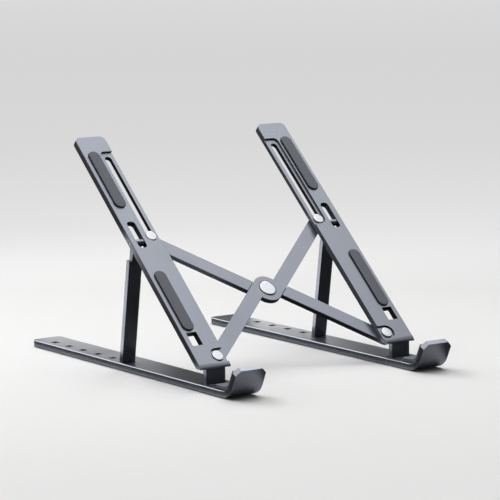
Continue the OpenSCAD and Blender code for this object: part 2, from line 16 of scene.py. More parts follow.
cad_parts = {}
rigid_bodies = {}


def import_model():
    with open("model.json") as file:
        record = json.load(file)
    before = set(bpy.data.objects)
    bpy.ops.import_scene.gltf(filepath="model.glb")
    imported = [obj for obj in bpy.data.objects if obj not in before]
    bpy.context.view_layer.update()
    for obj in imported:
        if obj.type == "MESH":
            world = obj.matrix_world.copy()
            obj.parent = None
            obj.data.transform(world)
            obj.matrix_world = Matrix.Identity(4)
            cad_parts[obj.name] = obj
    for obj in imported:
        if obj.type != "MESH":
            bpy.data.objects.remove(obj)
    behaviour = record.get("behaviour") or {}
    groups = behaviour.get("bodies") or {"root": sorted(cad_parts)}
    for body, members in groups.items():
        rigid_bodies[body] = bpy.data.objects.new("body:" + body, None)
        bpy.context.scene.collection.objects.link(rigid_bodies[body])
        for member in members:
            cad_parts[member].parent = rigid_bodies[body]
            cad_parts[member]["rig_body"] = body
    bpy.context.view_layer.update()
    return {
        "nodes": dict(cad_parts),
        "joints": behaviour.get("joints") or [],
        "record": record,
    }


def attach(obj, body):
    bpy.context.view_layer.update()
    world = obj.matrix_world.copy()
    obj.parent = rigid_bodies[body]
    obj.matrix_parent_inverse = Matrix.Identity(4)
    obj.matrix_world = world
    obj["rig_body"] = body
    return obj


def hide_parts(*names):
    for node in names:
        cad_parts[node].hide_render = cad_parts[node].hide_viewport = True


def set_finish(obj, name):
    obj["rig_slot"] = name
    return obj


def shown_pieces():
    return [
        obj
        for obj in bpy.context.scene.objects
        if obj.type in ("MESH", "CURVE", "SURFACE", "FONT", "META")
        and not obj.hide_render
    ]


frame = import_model()
nodes = frame["nodes"]
joints = {j["name"]: j for j in frame["joints"]}
slot_of = {part["node"]: part["material_slot"] for part in frame["record"]["subparts"]}
scene = bpy.context.scene
mm = 0.001

# %% [markdown]
# The arms lean, so pads and rivets are easiest to describe in the plane of the arms: one axis
# across the stand, one up the slope, and one square to it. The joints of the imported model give
# that plane, and the meshes of the nodes give every size, so nothing here repeats a number of
# the CAD model and a change there carries over by itself.

# %% The plane of the arms
normal = np.array(joints["spread"]["axis"], float)
slope = np.array([0.0, normal[2], -normal[1]])
across = np.array([1.0, 0.0, 0.0])
hinge = np.array(joints["tilt"]["pos_m"], float) * [0, 1, 1]
arm_axes = np.stack([across, slope, normal], axis=1)


def local_points(name):
    """Vertices of a node in the plane of the arms: (points - hinge) times the three axes."""
    mesh = nodes[name].data
    flat = np.empty(3 * len(mesh.vertices))
    mesh.vertices.foreach_get("co", flat)
    return (flat.reshape(-1, 3) - hinge) @ arm_axes


def to_world(local):
    """The way back: hinge + local times the axes, turned over."""
    return hinge + local @ arm_axes.T


print("arms lean", round(math.degrees(math.asin(slope[2])), 2), "degrees")

# %% [markdown]
# A new piece is a grid of points: the rows run one way over the surface and the columns go
# round it. One helper makes the mesh, merges the points that meet at a pole, turns the faces
# outward, and puts the piece on the body that carries it. A value per point can go along as an
# attribute, which a material can read. The object itself stays at the origin.

# %% A surface from a grid of points
pole_reach = 0.002 * mm


def ring_faces(rows, cols):
    """Quads between neighbours: index = row * cols + column, and the last column meets the
    first."""
    r = np.arange(rows - 1)[:, None]
    c = np.arange(cols)[None, :]
    n = (c + 1) % cols
    quads = np.stack(
        [r * cols + c, r * cols + n, (r + 1) * cols + n, (r + 1) * cols + c], axis=-1)
    return quads.reshape(-1, 4)


def surface(name, points, attribute=None, values=None):
    """Smooth closed mesh of a rows x columns x 3 grid, with an optional value for each point."""
    rows, cols = points.shape[:2]
    mesh = bpy.data.meshes.new(name)
    mesh.from_pydata(points.reshape(-1, 3).tolist(), [], ring_faces(rows, cols).tolist())
    if attribute:
        layer = mesh.attributes.new(attribute, "FLOAT", "POINT")
        layer.data.foreach_set("value", np.broadcast_to(values, (rows, cols)).ravel())
    merged = bmesh.new()
    merged.from_mesh(mesh)
    bmesh.ops.remove_doubles(merged, verts=merged.verts, dist=pole_reach)
    bmesh.ops.recalc_face_normals(merged, faces=merged.faces)
    merged.to_mesh(mesh)
    merged.free()
    mesh.polygons.foreach_set("use_smooth", [True] * len(mesh.polygons))
    piece = bpy.data.objects.new(name, mesh)
    scene.collection.objects.link(piece)
    return piece


def in_place_of(piece, node):
    """The new piece takes over the body, the material slot and the place of a CAD node."""
    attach(piece, nodes[node]["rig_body"])
    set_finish(piece, slot_of[node])
    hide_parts(node)
    print(piece.name, len(piece.data.polygons), "faces")


# %% [markdown]
# The four long pads that a laptop lies on are moulded silicone strips with round ends, glued
# into shallow pockets. Seen close, such a strip has a rolled edge and a slightly crowned top.
# A bevelled block would do from afar, but the crown needs a real surface. The outline is a
# stadium, and because every inset of a stadium keeps the same two centres, one formula gives
# all the rings from the pocket up to the middle line. The seam round the foot gets painted
# shade, so each point also carries how deep in that seam it lies.

# %% Pads on the arms
roll = 0.45 * mm
crown = 0.10 * mm
seam_gap = 0.22 * mm
seam_shade_ends = 0.25  # of the roll, below its top
pad_turns = 96
off_axis = 1e-4  # no point lies where sin is 0 and has no sign


def stadium(radius, straight, turns):
    """Closed outline: a circle of that radius whose two halves are moved apart by straight."""
    x = radius * np.cos(turns)
    y = radius * np.sin(turns) + np.sign(np.sin(turns)) * straight / 2
    return x, y


def crowned_strip(low, high):
    """Rings from the foot of the wall to the middle line: the wall, a quarter-round of radius
    roll, then a top that rises by crown times (1 - (distance from the middle / radius) squared).
    The painted seam shade falls from 1 at the foot of the wall to 0 near the top of the roll."""
    centre, half = (low + high) / 2, (high - low) / 2
    radius, straight = half[0] - seam_gap, 2 * (half[1] - half[0])
    bend = np.linspace(0, math.pi / 2, 9)
    top = np.linspace(roll, radius, 12)[1:]
    inset = np.concatenate([[0, 0], roll * (1 - np.cos(bend))[1:], top])
    edge = high[2] - crown - roll
    rise = crown * (1 - ((radius - top) / (radius - roll)) ** 2)
    height = np.concatenate([[low[2], edge], edge + roll * np.sin(bend)[1:], edge + roll + rise])
    turns = np.linspace(0, 2 * math.pi, pad_turns + 1)[:-1] + off_axis
    inset, height = np.append(radius, inset), np.append(low[2], height)
    x, y = stadium((radius - inset)[:, None], straight, turns[None, :])
    grid = np.stack([x, y, np.broadcast_to(height[:, None], x.shape)], axis=-1)
    # painted shade: how deep a point lies in the dark seam at the foot of the pad wall
    seam = np.clip((high[2] - crown - height) / roll - seam_shade_ends, 0, 1)
    return to_world(grid + [centre[0], centre[1], 0.0]), seam[:, None]


for name in [n for n in nodes if "_pad_" in n]:
    points = local_points(name)
    strip, seam = crowned_strip(points.min(axis=0), points.max(axis=0))
    in_place_of(surface(name + "_moulded", strip, "seam", seam), name)

# %% [markdown]
# The five rivets are turned steel: a wide low head that fills its recess, a shank through the
# arm and the bar, and a closed end in a counterbore. The half-section is read off the CAD node,
# its sharp corners are softened, the head gets the faint dome that polishing leaves, and the
# section is then turned about its axis. A cylinder with a bevel would look alike from above,
# but the softened section gives every shoulder its own thin line of light.

# %% Turned rivets
rivet_round = 0.16 * mm
dome = 0.14 * mm
head_band = 0.35 * mm


def half_section(points, middle):
    """Corners of the section from the closed end up. At each level the radii found there are
    taken in the order that starts nearest to the radius before them."""
    radius = np.hypot(points[:, 0] - middle[0], points[:, 1] - middle[1]).round(5)
    height = points[:, 2].round(5)
    corners = [(0.0, height.min())]
    for level in np.unique(height):
        rings = np.unique(radius[height == level])
        nearer_last = abs(rings[-1] - corners[-1][0]) < abs(rings[0] - corners[-1][0])
        corners += [(r, level) for r in (rings[::-1] if nearer_last else rings)]
    return np.array(corners)


def softened(corners, reach, steps=5):
    """Each corner P becomes the curve (1-t)^2 A + 2t(1-t) P + t^2 C, where A and C lie on its two
    edges at distance reach, or at 0.45 of an edge that is shorter than that."""
    before, corner, after = corners[:-2], corners[1:-1], corners[2:]
    t = np.linspace(0, 1, steps)[None, :, None]

    def on_edge(other):
        edge = other - corner
        length = np.linalg.norm(edge, axis=1, keepdims=True)
        return corner + edge * np.minimum(reach / length, 0.45)

    a, p, c = (v[:, None, :] for v in (on_edge(before), corner, on_edge(after)))
    curve = (1 - t) ** 2 * a + 2 * t * (1 - t) * p + t**2 * c
    return np.concatenate([corners[:1], curve.reshape(-1, 2)])


def turned(points, cols=72):
    """The softened section swept round: x = r cos a, y = r sin a. The head's top is lowered by
    dome times (r / head radius) squared, so that its middle keeps the full height. The radius
    goes along too, for the turning marks."""
    middle = (points.min(axis=0) + points.max(axis=0)) / 2
    section = softened(half_section(points, middle), rivet_round)
    rim, top = section[-1]
    face = np.linspace(rim, 0, 9)[1:]
    section = np.concatenate([section, np.stack([face, np.full_like(face, top)], axis=1)])
    head = section[:, 0].max()
    upper = section[:, 1] > top - head_band
    section[:, 1] -= np.where(upper, dome * (section[:, 0] / head) ** 2, 0)
    a = np.linspace(0, 2 * math.pi, cols + 1)[:-1]
    radius, height = section[:, :1], section[:, 1:]
    grid = np.stack(np.broadcast_arrays(radius * np.cos(a), radius * np.sin(a), height), axis=-1)
    return to_world(grid + [middle[0], middle[1], 0.0]), radius


for name in [n for n in nodes if n.endswith("_rivet") or "_rivet_" in n]:
    body, radius = turned(local_points(name))
    in_place_of(surface(name + "_turned", body, "turning_radius", radius / mm), name)

# %% [markdown]
# The sheet pieces are milled and tumbled before they are anodised, so no edge is knife sharp.
# Their meshes come as loose triangles: a weld joins them, coplanar triangles are merged so that
# the bevel runs clean, and weighted normals keep the big faces flat. Modifiers do all of this
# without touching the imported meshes. Where chamfers meet at a bend the rounding must stay small,
# or its corners would swell past the piece. Soft pieces get a wider one, as moulding gives them.

# %% Rounded edges
edge_round = {  # in millimetres
    "rail_metal": 0.18, "arm_metal": 0.13, "leg_metal": 0.13, "bar_metal": 0.22,
    "block_metal": 0.22, "silicone": 0.45, "steel_pin": 0.12, "nylon_washer": 0.08}
weld_reach = 0.001 * mm
coplanar = math.radians(0.5)
sharp = math.radians(32)
replaced = {n for n in nodes if "_pad_" in n or "rivet" in n}
for name in [n for n in nodes if n not in replaced]:
    piece = nodes[name]
    weld = piece.modifiers.new("weld", "WELD")
    weld.merge_threshold = weld_reach
    flat = piece.modifiers.new("flat faces", "DECIMATE")
    flat.decimate_type = "DISSOLVE"
    flat.angle_limit = coplanar
    bevel = piece.modifiers.new("rounded edges", "BEVEL")
    bevel.limit_method = "ANGLE"
    bevel.angle_limit = sharp
    bevel.width = edge_round[slot_of[name]] * mm
    bevel.segments = 3
    bevel.loop_slide = False
    bevel.use_clamp_overlap = False
    even = piece.modifiers.new("even normals", "WEIGHTED_NORMAL")
    even.mode = "FACE_AREA"
    even.keep_sharp = False
print("rounded", len(nodes) - len(replaced), "pieces")

# %% [markdown]
# A material in Blender is a tree of nodes. Made by hand it takes a line for each node and for
# each link, so a few small helpers do that: one makes a node, one links or sets a socket, and
# the others are the steps of arithmetic that the effects below share.

# %% Helpers for node trees


def node(tree, kind, **settings):
    """A new node with its properties set."""
    made = tree.nodes.new("ShaderNode" + kind)
    for key, value in settings.items():
        setattr(made, key, value)
    return made


def join(tree, source, target):
    """Link an output to an input, or set a plain value on it."""
    if hasattr(source, "links"):
        tree.links.new(source, target)
    else:
        target.default_value = source


def calc(tree, operation, a, b=0.0):
    """One step of arithmetic on two sockets or numbers."""
    step = node(tree, "Math", operation=operation)
    join(tree, a, step.inputs[0])
    join(tree, b, step.inputs[1])
    return step.outputs[0]


def remap(tree, value, low, high, to_low, to_high, curve="LINEAR"):
    """Map a value from one range to another, clamped, on a straight line or another curve."""
    step = node(tree, "MapRange", interpolation_type=curve)
    for socket, source in zip(step.inputs, (value, low, high, to_low, to_high)):
        join(tree, source, socket)
    return step.outputs[0]


def tinted(tree, colour, factor):
    """A colour times a number."""
    step = node(tree, "VectorMath", operation="SCALE")
    join(tree, colour, step.inputs[0])
    join(tree, factor, step.inputs["Scale"])
    return step.outputs[0]


# %% [markdown]
# An effect that several finishes share is a node group: built once, with named inputs, and
# placed in each material with that material's own values. It puts out colours and numbers only,
# so it can be baked into an image for other programs.

# %% Groups and noise


def group(name, inputs, outputs):
    """An empty node group. Each input has its start value, and its kind follows from that: four
    numbers are a colour, three a vector, and one a float. The outputs give their kind."""
    tree = bpy.data.node_groups.new(name, "ShaderNodeTree")
    kinds = {4: "NodeSocketColor", 3: "NodeSocketVector", 1: "NodeSocketFloat"}
    for label, start in inputs.items():
        kind = kinds[np.size(start)]
        tree.interface.new_socket(label, in_out="INPUT", socket_type=kind).default_value = start
    for label, kind in outputs.items():
        tree.interface.new_socket(label, in_out="OUTPUT", socket_type="NodeSocket" + kind)
    given = tree.nodes.new("NodeGroupInput").outputs
    return tree, given, tree.nodes.new("NodeGroupOutput").inputs


def noise(tree, scale, detail=2.0):
    """Fractal noise on object coordinates, with the scale in features per metre."""
    place = node(tree, "TexCoord").outputs["Object"]
    pattern = node(tree, "TexNoise")
    join(tree, place, pattern.inputs["Vector"])
    join(tree, scale, pattern.inputs["Scale"])
    pattern.inputs["Detail"].default_value = detail
    return pattern.outputs["Fac"]


# %% [markdown]
# Anodised aluminium is bead-blasted first, which leaves a fine even grain, and the dye bath
# leaves a very faint cloudiness over it. Both are noise, at two scales. An image of real metal
# would carry more detail, but it needs a layout and shows its seams, and noise fits any piece.

# %% Blasted and anodised surface
grey = (0.2, 0.2, 0.2, 1.0)
clouds_per_metre = 38.0
speck_contrast = 0.10
blasted, given, out = group(
    "blasted surface",
    {"Colour": grey, "Roughness": 0.33, "Grain per metre": 2600.0, "Cloudiness": 0.03},
    {"Colour": "Color", "Roughness": "Float", "Height": "Float"})
grain = noise(blasted, given["Grain per metre"], 3.0)
cloud = calc(blasted, "SUBTRACT", noise(blasted, clouds_per_metre), 0.5)
cloud = calc(blasted, "MULTIPLY", cloud, given["Cloudiness"])
speck = calc(blasted, "MULTIPLY", calc(blasted, "SUBTRACT", grain, 0.5), speck_contrast)
shade = calc(blasted, "ADD", calc(blasted, "MULTIPLY", cloud, 2.0), speck)
shade = calc(blasted, "ADD", 1.0, shade)
join(blasted, tinted(blasted, given["Colour"], shade), out["Colour"])
join(blasted, calc(blasted, "ADD", given["Roughness"], cloud), out["Roughness"])
join(blasted, grain, out["Height"])
print(blasted.name, len(blasted.nodes), "nodes")

# %% [markdown]
# Things that are handled carry faint smudges, which change the gloss far more than the colour.
# Only the peaks of a noise leave a mark, so the smudges come in patches with clean metal between.

# %% Smudges
smudges, given, out = group(
    "smudges", {"Roughness": 0.3, "Amount": 0.05, "Marks per metre": 30.0},
    {"Roughness": "Float"})
mark = remap(smudges, noise(smudges, given["Marks per metre"], 4.0), 0.52, 0.68, 0.0, 1.0)
mark = calc(smudges, "MULTIPLY", mark, given["Amount"])
join(smudges, calc(smudges, "ADD", given["Roughness"], mark), out["Roughness"])
print(smudges.name, len(smudges.nodes), "nodes")

# %% [markdown]
# A little dust settles on whatever faces up. It needs the direction of the surface, a noise that
# breaks it up, and a pale colour to mix in. It is kept so weak that it only shows close by.

# %% Dust
dust_colour = (0.62, 0.60, 0.57, 1.0)
specks_per_metre = 900.0
dust, given, out = group("dust", {"Colour": grey, "Amount": 0.04}, {"Colour": "Color"})
facing = node(dust, "SeparateXYZ")
join(dust, node(dust, "NewGeometry").outputs["Normal"], facing.inputs[0])
upward = remap(dust, facing.outputs["Z"], 0.55, 1.0, 0.0, 1.0)
speckle = remap(dust, noise(dust, specks_per_metre, 5.0), 0.56, 0.72, 0.15, 1.0)
cover = calc(dust, "MULTIPLY", calc(dust, "MULTIPLY", upward, speckle), given["Amount"])
layer = node(dust, "Mix", data_type="RGBA")
share, clean, dusted = layer.inputs[0], layer.inputs[6], layer.inputs[7]
join(dust, cover, share)
join(dust, given["Colour"], clean)
join(dust, dust_colour, dusted)
join(dust, layer.outputs[2], out["Colour"])
print(dust.name, len(dust.nodes), "nodes")

# %% [markdown]
# The walls of the milled recesses and slots in the arms look black from most sides, because they
# only mirror each other and lie in shadow, so their colour is darkened as painted shade. A mask
# finds them: points whose direction lies in the plane of the arm, which are a little below its top
# face and not on its long sides. Object coordinates and the object's own normal keep the mask in
# place when the arm turns, and the arm's middle and half width come from its mesh.

# %% Painted shade on the walls of recesses
steep = (0.3, 0.6)
dark_below = (0.05 * mm, 0.25 * mm)
walls, given, out = group(
    "recess walls", {"Colour": grey, "Arm normal": (0.0, 0.0, 1.0), "Top face": 0.0,
        "Middle": 80 * mm, "Half width": 12 * mm, "Darkness": 0.75}, {"Colour": "Color"})


def along_normal(vector):
    """The part of a vector that points along the arm's normal."""
    dot = node(walls, "VectorMath", operation="DOT_PRODUCT")
    join(walls, vector, dot.inputs[0])
    join(walls, given["Arm normal"], dot.inputs[1])
    return dot.outputs["Value"]


here = node(walls, "TexCoord").outputs
below = calc(walls, "SUBTRACT", given["Top face"], along_normal(here["Object"]))
upright = remap(walls, calc(walls, "ABSOLUTE", along_normal(here["Normal"])), *steep, 1.0, 0.0)
sideways = node(walls, "SeparateXYZ")
join(walls, here["Object"], sideways.inputs[0])
from_middle = calc(walls, "ABSOLUTE", sideways.outputs["X"])
from_middle = calc(walls, "ABSOLUTE", calc(walls, "SUBTRACT", from_middle, given["Middle"]))
within = calc(walls, "LESS_THAN", from_middle, given["Half width"])
inside = calc(walls, "MULTIPLY", remap(walls, below, *dark_below, 0.0, 1.0), within)
# painted shade: the masked walls get a darker colour
shadow = calc(walls, "MULTIPLY", calc(walls, "MULTIPLY", upright, inside), given["Darkness"])
join(walls, tinted(walls, given["Colour"], calc(walls, "SUBTRACT", 1.0, shadow)), out["Colour"])
print(walls.name, len(walls.nodes), "nodes")

# %% [markdown]
# Silicone is matte because the mould is etched: tiny soft bumps, no direction. The seam value of
# the pads darkens their colour at the foot of their walls: painted shade, for the shadow where no
# light gets in. A piece that has no such value reads zero and stays plain.

# %% Moulded silicone and painted seam shade
pore_low, pore_contrast = 0.92, 0.16
moulded, given, out = group(
    "moulded silicone", {"Colour": grey, "Pores per metre": 1500.0, "Seam": 0.9},
    {"Colour": "Color", "Height": "Float"})
pores = noise(moulded, given["Pores per metre"], 2.0)
in_seam_shade = node(moulded, "Attribute", attribute_name="seam").outputs["Fac"]
# painted shade: the seam value darkens the colour at the foot of the pad walls
shadow = calc(moulded, "SUBTRACT", 1.0, calc(moulded, "MULTIPLY", in_seam_shade, given["Seam"]))
pale_pores = calc(moulded, "ADD", pore_low, calc(moulded, "MULTIPLY", pores, pore_contrast))
shade = calc(moulded, "MULTIPLY", shadow, pale_pores)
join(moulded, tinted(moulded, given["Colour"], shade), out["Colour"])
join(moulded, pores, out["Height"])
print(moulded.name, len(moulded.nodes), "nodes")

# %% [markdown]
# A turned head shows rings so fine that they only soften the reflection. The radius that each
# point of a rivet carries gives them their centre, wherever the rivet sits.

# %% Turning marks
worn_low, worn_contrast, worn_per_metre = 0.965, 0.07, 420.0
marks, given, out = group(
    "turning marks", {"Colour": grey, "Rings per millimetre": 5.0},
    {"Colour": "Color", "Height": "Float"})
from_axis = node(marks, "Attribute", attribute_name="turning_radius").outputs["Fac"]
phase = calc(marks, "MULTIPLY", from_axis, given["Rings per millimetre"])
ring = calc(marks, "PINGPONG", phase, 0.5)
worn = calc(marks, "MULTIPLY", noise(marks, worn_per_metre, 4.0), worn_contrast)
join(marks, tinted(marks, given["Colour"], calc(marks, "ADD", worn_low, worn)), out["Colour"])
join(marks, ring, out["Height"])
print(marks.name, len(marks.nodes), "nodes")

# %% [markdown]
# A finish is a material of its own: the groups feed its colour, its roughness and a bump, and the
# shader stays outside them. Plain numbers, such as a roughness that is the same all over, are set
# on the shader itself.

# %% Helpers for finishes


def finish(name, metallic, rough):
    """A material with its tree, its shader and the plain numbers that are the same all over."""
    material = bpy.data.materials.new(name)
    material.use_nodes = True
    shader = material.node_tree.nodes["Principled BSDF"]
    shader.inputs["Metallic"].default_value = metallic
    shader.inputs["Roughness"].default_value = rough
    return material, material.node_tree, shader


def use(tree, effect, **values):
    """Place a group in a material, with its own values. Underscores stand for spaces."""
    placed = tree.nodes.new("ShaderNodeGroup")
    placed.node_tree = effect
    for key, value in values.items():
        join(tree, value, placed.inputs[key.replace("_", " ")])
    return placed.outputs


def bump(tree, height, depth, shader):
    """A bump of that depth in metres on the shader's normal."""
    made = node(tree, "Bump")
    made.inputs["Distance"].default_value = depth
    join(tree, height, made.inputs["Height"])
    join(tree, made.outputs["Normal"], shader.inputs["Normal"])


# %% [markdown]
# The metals have the dark blue-grey of a dyed anodic layer. It is clear glass-hard oxide over
# metal, so the shader is fully metallic and the dye is its colour. The grain of the blasting is a
# thousandth of a millimetre deep: more would glitter, and less would look like polished metal.

# %% Anodised metal
grain_depth = 0.0015 * mm
side_margin = 0.4 * mm
arm_low, arm_high = local_points("arm_right").min(axis=0), local_points("arm_right").max(axis=0)
arm_top = arm_high[2] + hinge @ normal
arm_middle, arm_half = (arm_low[0] + arm_high[0]) / 2, (arm_high[0] - arm_low[0]) / 2


def anodised(name, colour, rough, painted_recess_shade=False):
    """Blasted aluminium under a dyed anodic layer, with smudges and a trace of dust. With the
    recess flag set, the walls of its recesses get painted shade."""
    material, tree, shader = finish(name, 1.0, rough)
    base = use(tree, blasted, Colour=(*colour, 1.0), Roughness=rough)
    dusty = use(tree, dust, Colour=base["Colour"], Amount=0.03)
    touched = use(tree, smudges, Roughness=base["Roughness"], Amount=0.04)
    shown = dusty["Colour"]
    # painted shade on the walls of the recesses
    if painted_recess_shade:
        shown = use(tree, walls, Colour=shown, Arm_normal=normal, Top_face=arm_top,
            Middle=arm_middle, Half_width=arm_half - side_margin)["Colour"]
    join(tree, shown, shader.inputs["Base Color"])
    join(tree, touched["Roughness"], shader.inputs["Roughness"])
    bump(tree, base["Height"], grain_depth, shader)
    return material


print("arm is", round(2 * arm_half / mm, 1), "mm wide")

# %% [markdown]
# The pads, linings and feet are silicone, which is soft in light too: no metal in it, a high
# roughness, and pores ten times as deep as the grain of the metal.

# %% Silicone
pore_depth = 0.012 * mm


def rubber(name, colour, rough):
    """Etched silicone with painted shade in its seams and a trace of dust."""
    material, tree, shader = finish(name, 0.0, rough)
    base = use(tree, moulded, Colour=(*colour, 1.0))
    dusty = use(tree, dust, Colour=base["Colour"], Amount=0.03)
    join(tree, dusty["Colour"], shader.inputs["Base Color"])
    bump(tree, base["Height"], pore_depth, shader)
    return material


print("pores are", round(pore_depth / mm, 3), "mm deep")

# %% [markdown]
# The rivets and the hinge pins are polished steel, the brightest things on the stand, and thin
# nylon washers keep the bars from scratching the arms. Smudges on the small heads are finer than
# those on the flats, or a whole head would lie in one.

# %% Steel and nylon
head_marks_per_metre = 160.0
nylon_grain_per_metre = 900.0


def turned_steel(name, colour, rough):
    """Polished steel with turning marks and smudges."""
    material, tree, shader = finish(name, 1.0, rough)
    base = use(tree, marks, Colour=(*colour, 1.0))
    touched = use(
        tree, smudges, Roughness=rough, Amount=0.06, Marks_per_metre=head_marks_per_metre)
    join(tree, base["Colour"], shader.inputs["Base Color"])
    join(tree, touched["Roughness"], shader.inputs["Roughness"])
    bump(tree, base["Height"], grain_depth, shader)
    return material


def plain_nylon(name, colour, rough):
    """Natural nylon, a little cloudy."""
    material, tree, shader = finish(name, 0.0, rough)
    base = use(tree, blasted, Colour=(*colour, 1.0), Roughness=rough,
        Grain_per_metre=nylon_grain_per_metre)
    join(tree, base["Colour"], shader.inputs["Base Color"])
    return material


# %% [markdown]
# One finish goes with each material slot of the imported model. Rails, arms and bars differ only
# a little, as parts from different dye baths do. The legs slightly, and the hinge blocks far more,
# have the same finish painted darker as shade, because they stand in the shadow of the arms. Each
# piece takes the finish of its slot, and a piece made anew has the slot of the node it stands for.

# %% Put the finishes on
finishes = {
    "rail_metal": anodised("anodised rails", (0.200, 0.211, 0.242), 0.33),
    "arm_metal": anodised("anodised arms", (0.200, 0.211, 0.242), 0.34, painted_recess_shade=True),
    "bar_metal": anodised("anodised bars", (0.196, 0.206, 0.237), 0.34),
    # painted shade: legs and blocks darker because they stand in shadow
    "leg_metal": anodised("anodised legs", (0.190, 0.200, 0.232), 0.32),
    "block_metal": anodised("anodised blocks", (0.160, 0.170, 0.198), 0.32),
    "silicone": rubber("grey silicone", (0.113, 0.122, 0.150), 0.6),
    "polished_rivet": turned_steel("polished rivets", (0.43, 0.438, 0.460), 0.2),
    "steel_pin": turned_steel("hinge pins", (0.30, 0.30, 0.32), 0.3),
    "nylon_washer": plain_nylon("nylon washers", (0.60, 0.60, 0.57), 0.5),
}
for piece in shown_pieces():
    material = finishes[piece["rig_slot"] if "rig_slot" in piece else slot_of[piece.name]]
    piece.data.materials.clear()
    piece.data.materials.append(material)

# %% [markdown]
# The camera looks down by eight degrees from the front left. A long lens flattens the stand the
# way product pictures do, so the two sides keep nearly the same size.

# %% Camera
eye = Vector((-1.0633, -1.5172, 0.3449))
azimuth, elevation, lean = (math.radians(v) for v in (35.356, 8.168, -0.502))
camera = bpy.data.objects.new("camera", bpy.data.cameras.new("camera"))
scene.collection.objects.link(camera)
scene.camera = camera
camera.data.sensor_width = 36.0
camera.data.lens = 187.1
camera.data.clip_start = 0.05
camera.data.clip_end = 60.0
turn = Matrix.Rotation(-azimuth, 4, "Z") @ Matrix.Rotation(math.pi / 2 - elevation, 4, "X")
camera.matrix_world = Matrix.Translation(eye) @ turn @ Matrix.Rotation(lean, 4, "Z")
print("camera stands", round(eye.length, 2), "m away")

# %% [markdown]
# What stands round the stand belongs to the set: a floor, cards and a tent.

# %% Helpers for the set


def plate(x0, y0, x1, y1, z):
    """Corners of a level rectangle, in order."""
    return [(x0, y0, z), (x1, y0, z), (x1, y1, z), (x0, y1, z)]


def stage_piece(name, points, faces, material):
    """A mesh of the set, not of the stand."""
    mesh = bpy.data.meshes.new(name)
    mesh.from_pydata(points, [], faces)
    mesh.materials.append(material)
    made = bpy.data.objects.new(name, mesh)
    scene.collection.objects.link(made)
    return made


def seen_directly(tree):
    """1 for rays of the camera, of reflections and of refractions, and 0 for rays of light."""
    ray = node(tree, "LightPath").outputs
    mirrored = calc(tree, "MAXIMUM", ray["Is Glossy Ray"], ray["Is Transmission Ray"])
    return calc(tree, "MAXIMUM", ray["Is Camera Ray"], mirrored)


# %% [markdown]
# The stand lies on plain pale paper. Close to the stand the paper is lit, so that it takes the
# shadows, and it is a little darker behind the stand than before it.

# %% Pale floor
floor_reach = 14.0
paper_depth = (-0.02, 0.32)
paper_grey = (0.83, 0.69)
pale, tree, shader = finish("pale floor", 0.0, 0.9)
shader.inputs["Specular IOR Level"].default_value = 0.0
behind = node(tree, "VectorMath", operation="DOT_PRODUCT")
join(tree, node(tree, "TexCoord").outputs["Object"], behind.inputs[0])
behind.inputs[1].default_value = (math.sin(azimuth), math.cos(azimuth), 0)
paper = remap(tree, behind.outputs["Value"], *paper_depth, *paper_grey)
join(tree, tinted(tree, (1.0, 1.0, 0.994), paper), shader.inputs["Base Color"])
corners = plate(-floor_reach, -floor_reach, floor_reach, floor_reach, 0)
stage_piece("floor", corners, [(0, 1, 2, 3)], pale)
print("floor", 2 * floor_reach, "m wide")

# %% [markdown]
# Farther off the floor fades into a tone of its own, so that it is the backdrop too. Camera,
# reflection and refraction rays all see that tone, and the backdrop stays pale without more
# light on the metal. The tone follows a curve over the distance: pale near the stand, a soft
# grey far away.

# %% Backdrop tones
floor_tones = [  # metres from the middle, and tone
    (0.0, 0.86), (0.5, 0.825), (0.69, 0.79), (0.85, 0.76), (1.02, 0.735), (1.45, 0.697),
    (2.0, 0.676), (5.0, 0.69)]
backdrop_from, backdrop_full = 0.30, 0.75
far = floor_tones[-1][0]
away = node(tree, "VectorMath", operation="LENGTH")
join(tree, node(tree, "TexCoord").outputs["Object"], away.inputs[0])
distance = away.outputs["Value"]
tone_curve = node(tree, "FloatCurve")
curve = tone_curve.mapping.curves[0]
for point, (metres, tone) in zip(curve.points, (floor_tones[0], floor_tones[-1])):
    point.location = (metres / far, tone)
for metres, tone in floor_tones[1:-1]:
    curve.points.new(metres / far, tone)
tone_curve.mapping.update()
join(tree, calc(tree, "DIVIDE", distance, far), tone_curve.inputs["Value"])
glow = node(tree, "Emission")
join(tree, tone_curve.outputs["Value"], glow.inputs["Color"])
fade = remap(tree, distance, backdrop_from, backdrop_full, 0.0, 1.0, "SMOOTHSTEP")
blend = node(tree, "MixShader")
join(tree, calc(tree, "MULTIPLY", seen_directly(tree), fade), blend.inputs["Fac"])
join(tree, shader.outputs["BSDF"], blend.inputs[1])
join(tree, glow.outputs["Emission"], blend.inputs[2])
join(tree, blend.outputs["Shader"], tree.nodes["Material Output"].inputs["Surface"])
print("backdrop tones", len(curve.points))

# %% [markdown]
# Dark metal gets its form from what it mirrors. A studio hangs soft boxes where the top faces
# mirror them and black cards where the sides do. Here black cards lie on the floor round the
# rails. Only reflections see them: they throw no shadow, so the floor stays pale.

# %% Black cards
card_height = 0.5 * mm
card_radiance = 0.01


def glowing(name, points, faces, radiance):
    """A card that only reflections see. Its radiance is one number, or one for each point."""
    material, tree, shader = finish(name, 0.0, 0.9)
    shader.inputs["Base Color"].default_value = (0, 0, 0, 1)
    shader.inputs["Emission Color"].default_value = (1, 1, 1, 1)
    card = stage_piece(name, points, faces, material)
    layer = card.data.attributes.new("radiance", "FLOAT", "POINT")
    layer.data.foreach_set("value", np.broadcast_to(radiance, len(points)).astype(float))
    level = node(tree, "Attribute", attribute_name="radiance").outputs["Fac"]
    join(tree, level, shader.inputs["Emission Strength"])
    for kind in ("camera", "diffuse", "shadow", "transmission"):
        setattr(card, "visible_" + kind, False)
    return card


